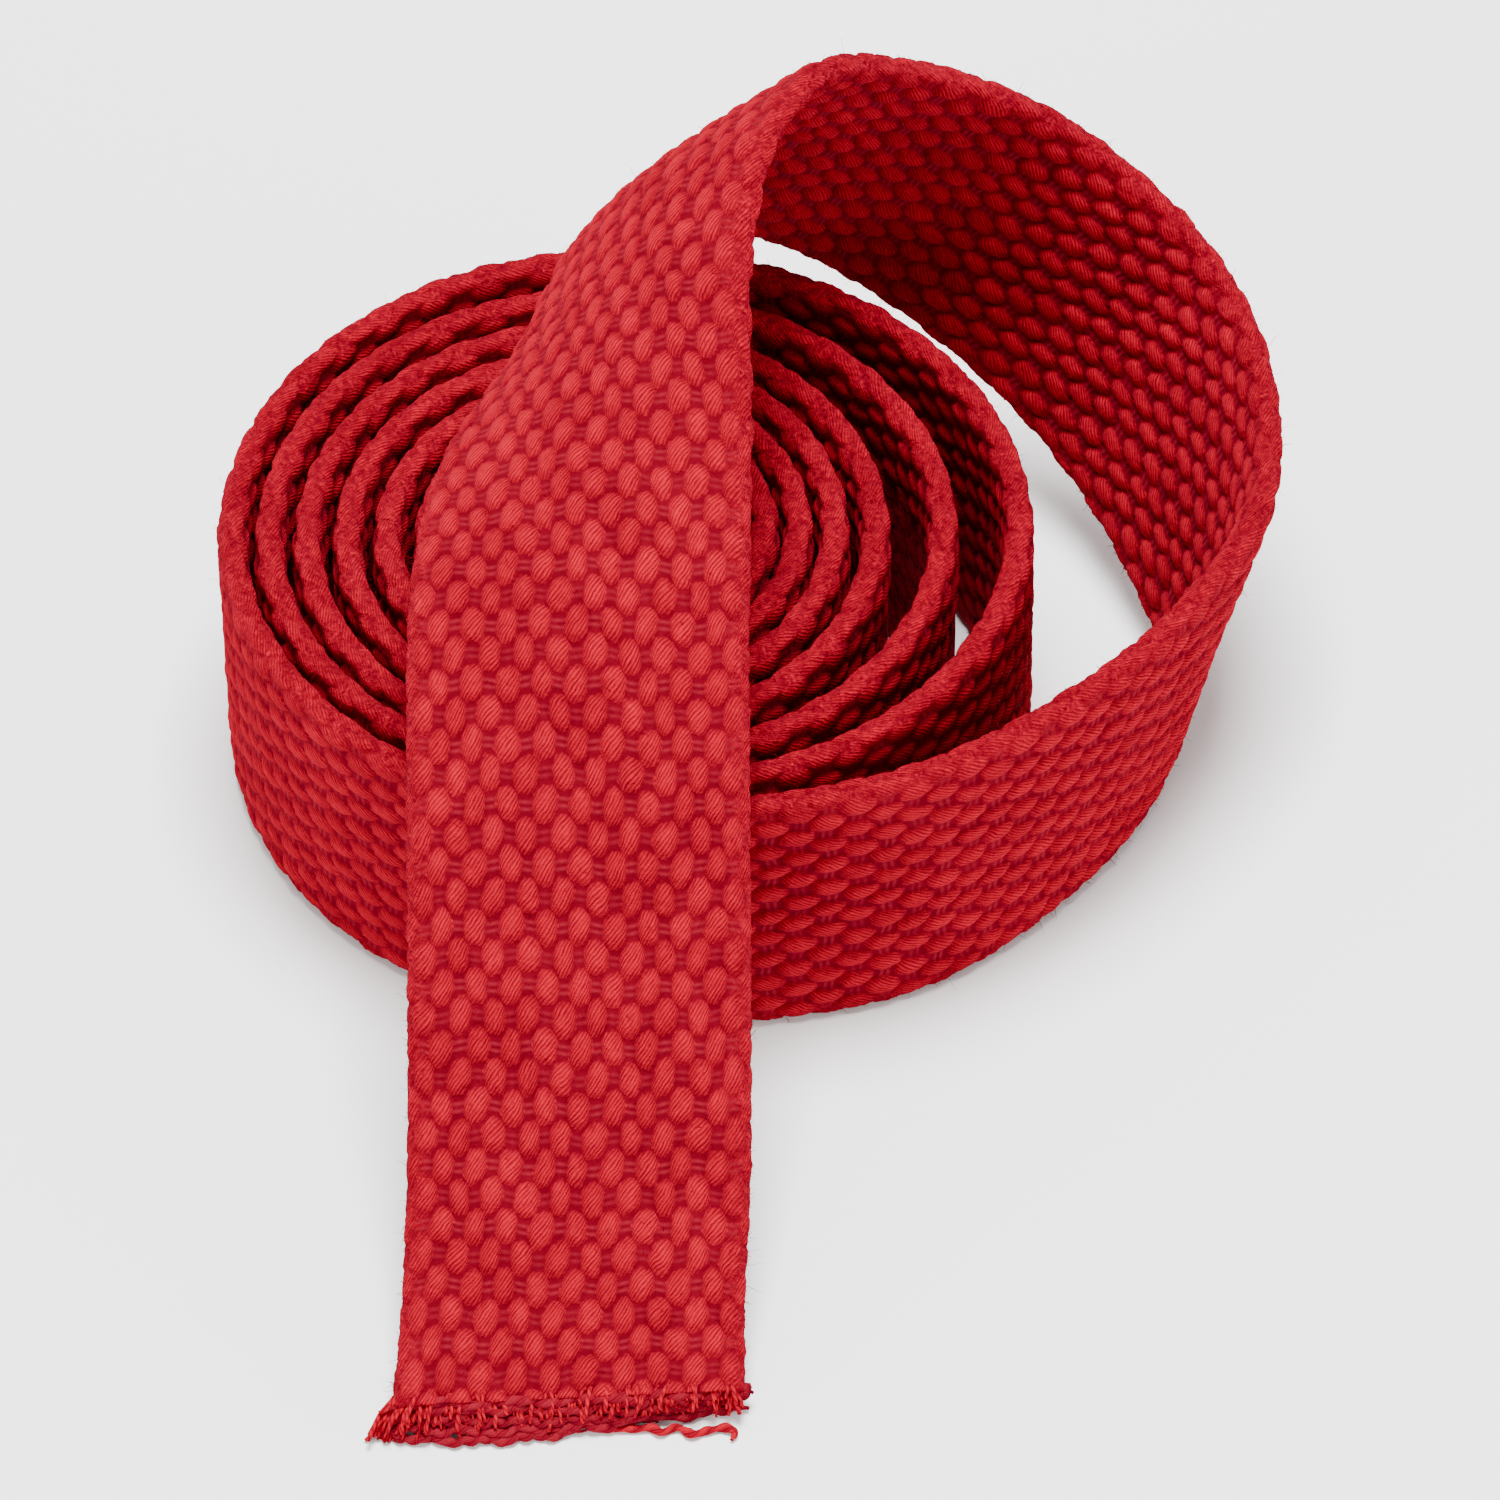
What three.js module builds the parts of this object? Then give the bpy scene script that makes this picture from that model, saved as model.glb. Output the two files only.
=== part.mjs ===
import * as THREE from "three";

// A roll of cotton webbing, in millimetres, +Z up. The roll lies on its lower selvedge on the
// plane z = 0, wound round the z axis. Seen from above the strap winds outward counter-clockwise.
// Its loose end leaves the roll in front, goes round the right side, climbs over the back and
// comes down over the roll's front, towards -Y, to the cut end.

const WEBBING_WIDTH = 30;
const WEBBING_THICKNESS = 2.6;
const SELVEDGE_CHAMFER = 0.5;
const ROLL_RADIUS = 35;
const ROLL_LEAN = 1.4;
const LEAN_ANGLE = (230 / 180) * Math.PI;
const FULL_TURN = 2 * Math.PI;
const SIXTHS_A_QUARTER = 6;
const FIRST_SIXTH = 6;
const PARTING_SIXTH = 221;
const PARTING_GAP = 0.3;
const INNER_END_SECTIONS = 10;
const WOUND_SECTION_ANGLE = FULL_TURN / 30;
const LOOSE_SECTION_STEP = 3.3;
const COTTON_RED = 0xb81c28;

// The inner end of the strap: x and y of its middle. It crosses the axis and folds back on itself.
const INNER_END = [
  [1.7, 0.0],
  [-1.4, 0.1],
  [-3.2, -1.6],
  [-1.8, -3.3],
];

// The wound turns, from the inside out: how far the strap's upper selvedge is from the axis.
// The inner end joins the first turn at its front, and the strap parts just short of the last front.
const TURNS = [
  // left, front, right, back
  [3.5, 3.5, 3.4, 3.7],
  [7.0, 6.6, 6.4, 6.9],
  [10.4, 9.9, 9.4, 10.2],
  [13.8, 13.2, 12.4, 13.5],
  [17.3, 16.5, 15.4, 16.8],
  [20.9, 20.0, 18.6, 20.1],
  [24.5, 23.8, 22.2, 23.4],
  [28.0, 27.3, 28.2, 27.4],
  [31.4, 30.4, 34.9, 32.1],
  [34.7, 33.6, 36.0, 38.0],
];

// Sections of the loose end, a row for each. The middle is the centre of the section, and across is
// the direction from the lower selvedge to the upper one. The crown is how far the middle of the
// section stands out past its selvedges.
const LOOSE_END = [
  // middle x, y, z, across x, y, z, crown, width, thickness
  [1.0, -33.3, 15.0, 0, -1, 30, 0, 30, 2.6],
  [12.0, -32.4, 15.0, 0, -0.7, 30, 0, 30, 2.6],
  [25.6, -28.9, 15.0, 0.3, -0.4, 30, 0, 30, 2.6],
  [38.6, -20.0, 15.3, 1.6, -1.4, 30, 0, 30, 2.6],
  [48.6, -7.5, 15.3, 3.5, -3, 29.5, 0, 30, 2.6],
  [53.0, 4.0, 16.3, 7.5, -3, 29, 0, 30, 2.6],
  [51.1, 16.0, 19.0, 12, -1.5, 27.5, 0, 30, 2.6],
  [45.4, 27.6, 21.8, 15, -1.5, 26, 0, 30, 2.6],
  [30.4, 37.3, 30.9, 16.3, -2, 24.8, 0, 30, 2.6],
  [18.4, 35.0, 40.7, 14.5, -4, 26, 0.5, 30, 2.6],
  [9.6, 28.5, 48.0, 15.3, -5, 25.2, 1.2, 30, 2.6],
  [3.8, 21.0, 50.0, 17.3, -7, 23.4, 2.2, 30, 2.6],
  [-0.2, 10.5, 47.0, 20.5, -6.5, 21, 3, 30, 2.6],
  [-2.8, -4.5, 45.0, 27.5, -5, 11, 2, 30, 2.6],
  [-3.8, -20.5, 41.6, 29.8, -2, 2, 0.8, 30, 2.6],
  [-3.8, -34.0, 34.6, 30, 0, 0, 0, 30, 2.6],
  [-3.7, -47.8, 22.2, 30, 0, 0, 0, 30, 2.6],
  [-3.8, -61.5, 10.9, 30, 0, 0, 0, 30, 2.6],
  [-4.3, -71.0, 4.9, 30, 0, 0, 0, 30, 2.6],
  [-4.7, -78.2, 1.7, 29.8, 3.4, 0, 0, 31.4, 3.2],
];

// A smooth curve through rows of numbers: a cubic between each two knots. The slope at a knot is
// weighed from the slopes on its two sides, the nearer side counting more.
function smoothRow(knots, rows, at) {
  let i = 0;
  while (i < knots.length - 2 && at >= knots[i + 1]) i += 1;
  const step = knots[i + 1] - knots[i];
  const t = (at - knots[i]) / step;
  const rise = (j, column) => {
    return (rows[j + 1][column] - rows[j][column]) / (knots[j + 1] - knots[j]);
  };
  const slope = (j, column) => {
    if (j === 0) return rise(0, column);
    if (j === knots.length - 1) return rise(j - 1, column);
    const before = knots[j] - knots[j - 1];
    const after = knots[j + 1] - knots[j];
    return (after * rise(j - 1, column) + before * rise(j, column)) / (before + after);
  };
  return rows[i].map((value, column) => {
    const start = (1 + 2 * t) * (1 - t) ** 2 * value;
    const leaving = t * (1 - t) ** 2 * step * slope(i, column);
    const end = t * t * (3 - 2 * t) * rows[i + 1][column];
    const arriving = t * t * (t - 1) * step * slope(i + 1, column);
    return start + leaving + end + arriving;
  });
}

// A row of the same form as the loose end's, for an upright section of the wound strap.
function uprightRow(x, y) {
  return [x, y, WEBBING_WIDTH / 2, 0, 0, WEBBING_WIDTH, 0, WEBBING_WIDTH, WEBBING_THICKNESS];
}

// The section of the wound strap a number of sixths of a quarter turn on from the first left.
// Towards the front left the turns lean, their lower selvedge nearer the axis than their upper
// one, the outermost turn the most. A leaning section still stands on the plane z = 0.
function woundRow(sixth) {
  const distances = TURNS.flat().map((distance) => [distance]);
  const quarters = distances.map((_, quarter) => quarter);
  const quarter = sixth / SIXTHS_A_QUARTER;
  const [distance] = smoothRow(quarters, distances, quarter);
  const angle = Math.PI + (quarter * FULL_TURN) / 4;
  const facing = Math.max(0, Math.cos(angle - LEAN_ANGLE));
  const lean = (ROLL_LEAN * facing ** 2 * distance) / ROLL_RADIUS;
  const tilt = Math.asin(lean / WEBBING_WIDTH);
  const middle = distance - lean / 2;
  const row = uprightRow(middle * Math.cos(angle), middle * Math.sin(angle));
  row[2] = (WEBBING_WIDTH / 2) * Math.cos(tilt);
  row[2] += (WEBBING_THICKNESS / 2 - SELVEDGE_CHAMFER) * Math.sin(tilt);
  row[3] = lean * Math.cos(angle);
  row[4] = lean * Math.sin(angle);
  row[5] = WEBBING_WIDTH * Math.cos(tilt);
  return row;
}

// All the sections that steer the strap, from its inner end to its cut end.
function strapRows() {
  const rows = INNER_END.map(([x, y]) => uprightRow(x, y));
  for (let sixth = FIRST_SIXTH; sixth <= PARTING_SIXTH; sixth += 1) {
    rows.push(woundRow(sixth));
  }
  for (const row of LOOSE_END) {
    const across = new THREE.Vector3(row[3], row[4], row[5]).setLength(WEBBING_WIDTH);
    rows.push([...row.slice(0, 3), ...across.toArray(), ...row.slice(6)]);
  }
  return rows;
}

// The length along the strap at which each steering section stands.
function lengthsAlong(rows) {
  const lengths = [0];
  for (let i = 1; i < rows.length; i += 1) {
    const [x, y, z] = rows[i];
    const [px, py, pz] = rows[i - 1];
    lengths.push(lengths[i - 1] + Math.hypot(x - px, y - py, z - pz));
  }
  return lengths;
}

const ROWS = strapRows();
const LENGTHS = lengthsAlong(ROWS);
const STRAP_LENGTH = LENGTHS[LENGTHS.length - 1];
const PARTING = LENGTHS[LENGTHS.length - LOOSE_END.length - 1];

// The strap's section at a length: its middle, its directions along, across and out of the face,
// and how much it is crowned, widened and thickened.
function sectionAt(length) {
  const row = smoothRow(LENGTHS, ROWS, length);
  const ahead = smoothRow(LENGTHS, ROWS, Math.min(length + 0.05, STRAP_LENGTH));
  const behind = smoothRow(LENGTHS, ROWS, Math.max(length - 0.05, 0));
  const middle = new THREE.Vector3().fromArray(row, 0);
  const along = new THREE.Vector3().fromArray(ahead, 0);
  along.sub(new THREE.Vector3().fromArray(behind, 0)).normalize();
  const across = new THREE.Vector3().fromArray(row, 3).normalize();
  const outward = new THREE.Vector3().crossVectors(along, across).normalize();
  return { middle, across, outward, crown: row[6], width: row[7], thickness: row[8] };
}

// The strap's flat outline across its width: chamfered at both selvedges, with points between
// them where the strap is crowned.
function sectionOutline(inner) {
  const edge = WEBBING_WIDTH / 2;
  const face = WEBBING_THICKNESS / 2;
  const flat = edge - SELVEDGE_CHAMFER;
  const low = face - SELVEDGE_CHAMFER;
  const across = [-flat, ...inner, flat];
  const outline = [];
  for (const x of across) outline.push(new THREE.Vector2(x, -face));
  outline.push(new THREE.Vector2(edge, -low));
  outline.push(new THREE.Vector2(edge, low));
  for (const x of across.toReversed()) outline.push(new THREE.Vector2(x, face));
  outline.push(new THREE.Vector2(-edge, low));
  outline.push(new THREE.Vector2(-edge, -low));
  return new THREE.Shape(outline);
}

// A length of strap: its outline is pushed out straight, one unit for each section, and each
// point is then carried to its section's place on the bent strap.
function strapGeometry(lengths, inner) {
  const geometry = new THREE.ExtrudeGeometry(sectionOutline(inner), {
    depth: lengths.length - 1,
    steps: lengths.length - 1,
    bevelEnabled: false,
  });
  const sections = lengths.map(sectionAt);
  const positions = geometry.getAttribute("position");
  const point = new THREE.Vector3();
  for (let i = 0; i < positions.count; i += 1) {
    point.fromBufferAttribute(positions, i);
    const section = sections[Math.round(point.z)];
    const across = (point.x * section.width) / WEBBING_WIDTH;
    const bulge = section.crown * (0.5 - (across / (WEBBING_WIDTH / 2)) ** 2);
    const through = (point.y * section.thickness) / WEBBING_THICKNESS + bulge;
    point.copy(section.middle);
    point.addScaledVector(section.across, across);
    point.addScaledVector(section.outward, through);
    positions.setXYZ(i, point.x, point.y, point.z);
  }
  geometry.computeVertexNormals();
  return geometry;
}

// The lengths of the wound sections: close together in the folded inner end, and then at an even
// angle, so that the sections of neighbouring turns stand side by side.
function woundLengths() {
  const firstTurn = LENGTHS[INNER_END.length];
  const last = PARTING - PARTING_GAP / 2;
  const lengths = [];
  for (let i = 0; i < INNER_END_SECTIONS; i += 1) {
    lengths.push((firstTurn * i) / INNER_END_SECTIONS);
  }
  const sixths = PARTING_SIXTH - FIRST_SIXTH;
  const count = Math.round((sixths * FULL_TURN) / 24 / WOUND_SECTION_ANGLE);
  for (let i = 0; i <= count; i += 1) {
    const knot = (i / count) * sixths;
    const whole = Math.min(Math.floor(knot), sixths - 1);
    const start = LENGTHS[INNER_END.length + whole];
    const end = LENGTHS[INNER_END.length + whole + 1];
    lengths.push(Math.min(start + (knot - whole) * (end - start), last));
  }
  return lengths;
}

function looseLengths() {
  const first = PARTING + PARTING_GAP / 2;
  const count = Math.round((STRAP_LENGTH - first) / LOOSE_SECTION_STEP);
  const lengths = [];
  for (let i = 0; i <= count; i += 1) {
    lengths.push(first + ((STRAP_LENGTH - first) * i) / count);
  }
  return lengths;
}

function webbingMesh(name, geometry) {
  const cotton = new THREE.MeshStandardMaterial({
    name: "cotton webbing",
    color: COTTON_RED,
    roughness: 0.95,
    metalness: 0,
  });
  const mesh = new THREE.Mesh(geometry, cotton);
  mesh.name = name;
  return mesh;
}

const roll = new THREE.Group();
roll.add(webbingMesh("wound_roll", strapGeometry(woundLengths(), [])));
roll.add(webbingMesh("loose_end", strapGeometry(looseLengths(), [-7.5, 0, 7.5])));

export default roll;
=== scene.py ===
"""A roll of thick cotton webbing, dressed over its solids.

The strap is one long ribbon. Its bare shape is the same as the solids': a line of sections with a
middle, a direction across and an outward direction. The weave is pushed out from that shape on a grid
that follows the rows and columns of the yarns, so every bump of the cloth is a bump of the mesh.
"""

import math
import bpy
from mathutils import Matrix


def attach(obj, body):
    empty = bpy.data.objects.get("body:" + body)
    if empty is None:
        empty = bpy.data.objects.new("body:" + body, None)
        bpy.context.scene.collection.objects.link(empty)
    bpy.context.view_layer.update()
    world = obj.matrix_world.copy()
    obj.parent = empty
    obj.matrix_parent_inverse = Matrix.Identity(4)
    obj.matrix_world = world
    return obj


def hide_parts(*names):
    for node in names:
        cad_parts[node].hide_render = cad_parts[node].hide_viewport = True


bl_info = {
    "name": "Roll of Cotton Webbing",
    "version": (1, 0, 0),
    "blender": (4, 5, 0),
    "location": "View3D > Sidebar > Webbing",
    "description": "Dresses a roll of thick cotton webbing with its weave, its frayed end and its lint",
    "category": "Add Mesh",
}

from functools import partial

import bpy
import numpy as np
from bpy.props import FloatProperty, FloatVectorProperty, IntProperty, PointerProperty
from bpy.types import Operator, Panel, PropertyGroup
from mathutils import Vector

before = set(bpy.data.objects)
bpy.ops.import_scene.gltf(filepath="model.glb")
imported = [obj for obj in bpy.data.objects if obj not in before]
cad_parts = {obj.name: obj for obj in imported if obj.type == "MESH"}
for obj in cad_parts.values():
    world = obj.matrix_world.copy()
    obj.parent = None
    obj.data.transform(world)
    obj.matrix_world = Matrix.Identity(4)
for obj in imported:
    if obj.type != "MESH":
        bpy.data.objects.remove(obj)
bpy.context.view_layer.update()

MM = 0.001
WEBBING_WIDTH = 30.0
WEBBING_THICKNESS = 2.6
SELVEDGE_CHAMFER = 0.5
ROLL_RADIUS = 35.0
ROLL_LEAN = 1.4
LEAN_ANGLE = math.radians(230)
SIXTHS_A_QUARTER = 6
FIRST_SIXTH = 6
PARTING_SIXTH = 221
FACE_COLUMNS = 19
HALF_COLUMNS = FACE_COLUMNS + 2
RING_COLUMNS = 2 * HALF_COLUMNS
SOFTNESS = (0.45, 0.6, 1, 1, 0.6, 0.45)
SELVEDGE_COLUMN = 1.1
SELVEDGE_FUZZ = 2.5
CAP_COLUMN = 9.0

# A place round a section is counted in columns, up the outer face from the middle of the lower
# selvedge and down the inner face back to it.
RING_START = -1.5
TOP_SELVEDGE = RING_START + HALF_COLUMNS
RING_END = RING_START + RING_COLUMNS

# The warp bumps and the mounds of weft between them, in rows and columns. A spread is by how much
# one bump differs from another.
BUMP_HALF_LENGTH = 0.61
BUMP_HALF_WIDTH = 0.70
BUMP_SIZE_SPREAD = 0.06
BUMP_LEAN = 0.10
BUMP_LEAN_SPREAD = 0.24
BUMP_POWER = 2.5
BUMP_PLUMPNESS = 0.6
BUMP_LOWEST = 0.86
BUMP_HEIGHT_SPREAD = 0.28
MOUND_HALF_LENGTH = 0.42
MOUND_HALF_WIDTH = 0.7
MOUND_HEIGHT = 0.30
MEAN_RELIEF = 0.45

# How rows and columns wander: by how much, waves round a section, and how slowly along the strap.
ROW_WANDER = ((0.07, 3, 17.0), (0.07, 11, -5.3))
COLUMN_WANDER = ((0.09, 2, 11.0), (0.09, 7, -3.1))

# How deep the grooves between a yarn's plies are, as a share of its radius.
PETAL_DEPTH = 0.16

# The inner end of the strap, in millimetres: x and y of its middle.
INNER_END = (
    (1.7, 0.0),
    (-1.4, 0.1),
    (-3.2, -1.6),
    (-1.8, -3.3),
)

# The wound turns, from the inside out: how far the strap's upper selvedge is from the axis.
TURNS = (
    # left, front, right, back
    (3.5, 3.5, 3.4, 3.7),
    (7.0, 6.6, 6.4, 6.9),
    (10.4, 9.9, 9.4, 10.2),
    (13.8, 13.2, 12.4, 13.5),
    (17.3, 16.5, 15.4, 16.8),
    (20.9, 20.0, 18.6, 20.1),
    (24.5, 23.8, 22.2, 23.4),
    (28.0, 27.3, 28.2, 27.4),
    (31.4, 30.4, 34.9, 32.1),
    (34.7, 33.6, 36.0, 38.0),
)

# Sections of the loose end, a row for each, in millimetres.
LOOSE_END = (
    # middle x, y, z, across x, y, z, crown, width, thickness
    (1.0, -33.3, 15.0, 0, -1, 30, 0, 30, 2.6),
    (12.0, -32.4, 15.0, 0, -0.7, 30, 0, 30, 2.6),
    (25.6, -28.9, 15.0, 0.3, -0.4, 30, 0, 30, 2.6),
    (38.6, -20.0, 15.3, 1.6, -1.4, 30, 0, 30, 2.6),
    (48.6, -7.5, 15.3, 3.5, -3, 29.5, 0, 30, 2.6),
    (53.0, 4.0, 16.3, 7.5, -3, 29, 0, 30, 2.6),
    (51.1, 16.0, 19.0, 12, -1.5, 27.5, 0, 30, 2.6),
    (45.4, 27.6, 21.8, 15, -1.5, 26, 0, 30, 2.6),
    (30.4, 37.3, 30.9, 16.3, -2, 24.8, 0, 30, 2.6),
    (18.4, 35.0, 40.7, 14.5, -4, 26, 0.5, 30, 2.6),
    (9.6, 28.5, 48.0, 15.3, -5, 25.2, 1.2, 30, 2.6),
    (3.8, 21.0, 50.0, 17.3, -7, 23.4, 2.2, 30, 2.6),
    (-0.2, 10.5, 47.0, 20.5, -6.5, 21, 3, 30, 2.6),
    (-2.8, -4.5, 45.0, 27.5, -5, 11, 2, 30, 2.6),
    (-3.8, -20.5, 41.6, 29.8, -2, 2, 0.8, 30, 2.6),
    (-3.8, -34.0, 34.6, 30, 0, 0, 0, 30, 2.6),
    (-3.7, -47.8, 22.2, 30, 0, 0, 0, 30, 2.6),
    (-3.8, -61.5, 10.9, 30, 0, 0, 0, 30, 2.6),
    (-4.3, -71.0, 4.9, 30, 0, 0, 0, 30, 2.6),
    (-4.6, -77.4, 2.0, 30, 1.8, 0, 0, 30.8, 2.9),
)

# Weft threads that lie across the cut end, in millimetres.
CUT_THREADS = (
    # the points of one thread: x, y, z
    ((-21.6, -79.1, 0.45), (-18.5, -80.2, 0.45), (-13, -80.5, 0.45), (-8, -80.1, 0.45), (-3, -79.3, 0.45)),
    ((-21.2, -78.8, 1.0), (-17.0, -79.7, 1.0), (-11.0, -79.9, 1.0), (-5.0, -79.3, 0.8), (1.5, -78.6, 0.5)),
    ((-20.9, -78.6, 1.8), (-16.0, -79.2, 1.7), (-10.0, -79.3, 1.6), (-3.0, -78.8, 1.3), (5.0, -78.1, 0.8)),
    ((-20.6, -78.3, 2.4), (-15.0, -78.6, 2.4), (-8.0, -78.5, 2.2), (0.0, -78.1, 1.8), (8.5, -77.1, 1.2)),
    ((-19.8, -78.6, 0.6), (-12.0, -79.0, 0.7), (-4.0, -78.5, 0.6), (4.0, -77.8, 0.5), (11.0, -76.8, 0.5)),
    ((-14.0, -78.4, 1.3), (-6.0, -78.2, 1.4), (2.0, -77.7, 1.4), (8.0, -77.0, 1.5), (11.4, -76.2, 1.6)),
    ((-3.0, -77.9, 2.3), (2.0, -77.6, 2.3), (6.0, -77.2, 2.3), (9.5, -76.7, 2.3), (11.2, -76.0, 2.4)),
    ((-20.2, -78.4, 2.7), (-12.0, -78.2, 2.8), (-4.0, -77.8, 2.8), (4.0, -77.3, 2.7), (10.9, -76.7, 2.5)),
    ((-20.0, -78.1, 2.4), (-10.0, -77.7, 2.6), (-2.0, -77.4, 2.7), (5.0, -76.9, 2.6), (10.9, -76.3, 2.2)),
)

# The weft thread that has come loose and lies on the surface to the right, in millimetres.
LOOSE_THREAD = (
    # x, y, z
    (-8.6, -78.7, 1.6), (-5.8, -78.9, 1.1), (-3.6, -78.8, 0.6), (-1.4, -78.9, 0.35),
    (0.7, -79.1, 0.35), (2.5, -79.0, 0.35), (3.5, -79.5, 0.35), (4.8, -78.9, 0.35),
    (6.1, -79.7, 0.35), (7.6, -79.2, 0.35), (9.0, -79.0, 0.35), (9.8, -79.5, 0.35),
    (9.5, -80.3, 0.35),
)


# Sizes and colours


class WebbingWeave(PropertyGroup):
    """Sizes of the weave."""

    row_pitch: FloatProperty(
        name="Row pitch", default=0.00262, unit="LENGTH",
        description="Length of strap that one weft row takes",
    )
    relief: FloatProperty(
        name="Relief", default=0.00048, unit="LENGTH",
        description="Height of a warp bump over the valleys of the weave",
    )
    roughness: FloatProperty(
        name="Roughness", default=0.000018, unit="LENGTH",
        description="How unevenly the fibres stand out of the cloth",
    )
    core_thickness: FloatProperty(
        name="Core thickness", default=0.0019, unit="LENGTH",
        description="Thickness of the strap between the valleys of its two faces",
    )
    core_width: FloatProperty(
        name="Core width", default=0.0295, unit="LENGTH",
        description="Width of the strap without the bumps on its selvedges",
    )
    selvedge_radius: FloatProperty(
        name="Selvedge radius", default=0.00085, unit="LENGTH",
        description="Radius of the rounded selvedges",
    )
    cuts_a_row: IntProperty(
        name="Cuts a row", default=7,
        description="Sections of the mesh for each weft row",
    )


class WebbingFray(PropertyGroup):
    """Sizes and numbers of the loose yarns, the frayed ends and the lint."""

    thread_radius: FloatProperty(
        name="Thread radius", default=0.00042, unit="LENGTH",
        description="Radius of the weft threads at the cut end",
    )
    strand_radius: FloatProperty(
        name="Strand radius", default=0.00019, unit="LENGTH",
        description="Radius of a strand of a frayed warp end",
    )
    strands: IntProperty(
        name="Strands", default=13,
        description="Strands in each frayed warp end",
    )
    left_length: FloatProperty(
        name="Left length", default=0.0022, unit="LENGTH",
        description="Length of the frayed ends at the left selvedge",
    )
    right_length: FloatProperty(
        name="Right length", default=0.0010, unit="LENGTH",
        description="Length of the frayed ends at the right selvedge",
    )
    lint: IntProperty(
        name="Lint", default=7500,
        description="Number of fine hairs on the cloth",
    )
    lint_radius: FloatProperty(
        name="Lint radius", default=0.000021, unit="LENGTH",
        description="Radius of a hair at its root",
    )


class WebbingColours(PropertyGroup):
    """Colours of the cotton, with its painted shade, and of the stage."""

    crest: FloatVectorProperty(
        name="Crest", default=(0.40, 0.0025, 0.015), subtype="COLOR", min=0.0, max=1.0,
        description="Colour of the yarn on top of the bumps",
    )
    # Painted shade: the valley colour is the red darkened for the shade that falls down in the weave, between
    # the bumps.
    valley_shade: FloatVectorProperty(
        name="Valley", default=(0.115, 0.0006, 0.0065), subtype="COLOR", min=0.0, max=1.0,
        description="Colour of the yarn down in the weave",
    )
    weft: FloatVectorProperty(
        name="Weft", default=(0.20, 0.007, 0.016), subtype="COLOR", min=0.0, max=1.0,
        description="Colour of the weft yarns that show between the bumps",
    )
    cut: FloatVectorProperty(
        name="Cut ends", default=(0.46, 0.003, 0.016), subtype="COLOR", min=0.0, max=1.0,
        description="Colour of the frayed ends, which show the inside of the yarn",
    )
    floor: FloatVectorProperty(
        name="Floor", default=(0.92, 0.92, 0.92), subtype="COLOR", min=0.0, max=1.0,
        description="Colour of the pale floor",
    )


# The strap's line


def smooth_rows(knots, rows, at):
    """A smooth curve through rows of numbers, worked out at many places at once.

    Between two knots each column is the cubic that has the rows' values and slopes at its ends. A
    knot's slope is weighed from the slopes on its two sides, the nearer side counting more.
    """
    gaps = np.diff(knots)
    rises = np.diff(rows, axis=0) / gaps[:, None]
    slopes = np.empty_like(rows)
    slopes[0] = rises[0]
    slopes[-1] = rises[-1]
    before = gaps[:-1, None]
    after = gaps[1:, None]
    slopes[1:-1] = (after * rises[:-1] + before * rises[1:]) / (before + after)
    i = np.clip(np.searchsorted(knots, at, side="right") - 1, 0, len(gaps) - 1)
    gap = gaps[i][:, None]
    t = (at - knots[i])[:, None] / gap
    start = (1 + 2 * t) * (1 - t) ** 2 * rows[i]
    leaving = t * (1 - t) ** 2 * gap * slopes[i]
    end = t * t * (3 - 2 * t) * rows[i + 1]
    arriving = t * t * (t - 1) * gap * slopes[i + 1]
    return start + leaving + end + arriving


def strap_rows():
    """The sections that steer the strap, from its inner end to its cut end.

    The wound ones stand on a line whose distance from the axis is a smooth curve through the table of
    turns, while its angle grows evenly. Towards the front left they lean, their lower selvedge nearer
    the axis, by the lean times the squared cosine of the angle from there and in step with the
    distance. A leaning section still stands on the floor.
    """
    quarters = np.arange(FIRST_SIXTH, PARTING_SIXTH + 1) / SIXTHS_A_QUARTER
    distances = np.array(TURNS).reshape(-1, 1)
    distance = smooth_rows(np.arange(len(distances), dtype=float), distances, quarters)[:, 0]
    angle = math.pi + quarters * math.pi / 2
    lean = ROLL_LEAN * np.maximum(0.0, np.cos(angle - LEAN_ANGLE)) ** 2 * distance / ROLL_RADIUS
    tilt = np.arcsin(lean / WEBBING_WIDTH)
    low = WEBBING_THICKNESS / 2 - SELVEDGE_CHAMFER
    first = len(INNER_END)
    wound = np.zeros((first + len(quarters), 9))
    wound[:first, :2] = INNER_END
    wound[first:, 0] = (distance - lean / 2) * np.cos(angle)
    wound[first:, 1] = (distance - lean / 2) * np.sin(angle)
    wound[:, 2] = WEBBING_WIDTH / 2
    wound[first:, 2] = WEBBING_WIDTH / 2 * np.cos(tilt) + low * np.sin(tilt)
    wound[first:, 3] = lean * np.cos(angle)
    wound[first:, 4] = lean * np.sin(angle)
    wound[:, 5] = WEBBING_WIDTH
    wound[first:, 5] = WEBBING_WIDTH * np.cos(tilt)
    wound[:, 7] = WEBBING_WIDTH
    wound[:, 8] = WEBBING_THICKNESS
    loose = np.array(LOOSE_END, dtype=float)
    loose[:, 3:6] *= WEBBING_WIDTH / np.linalg.norm(loose[:, 3:6], axis=1)[:, None]
    return np.vstack([wound, loose])


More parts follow.
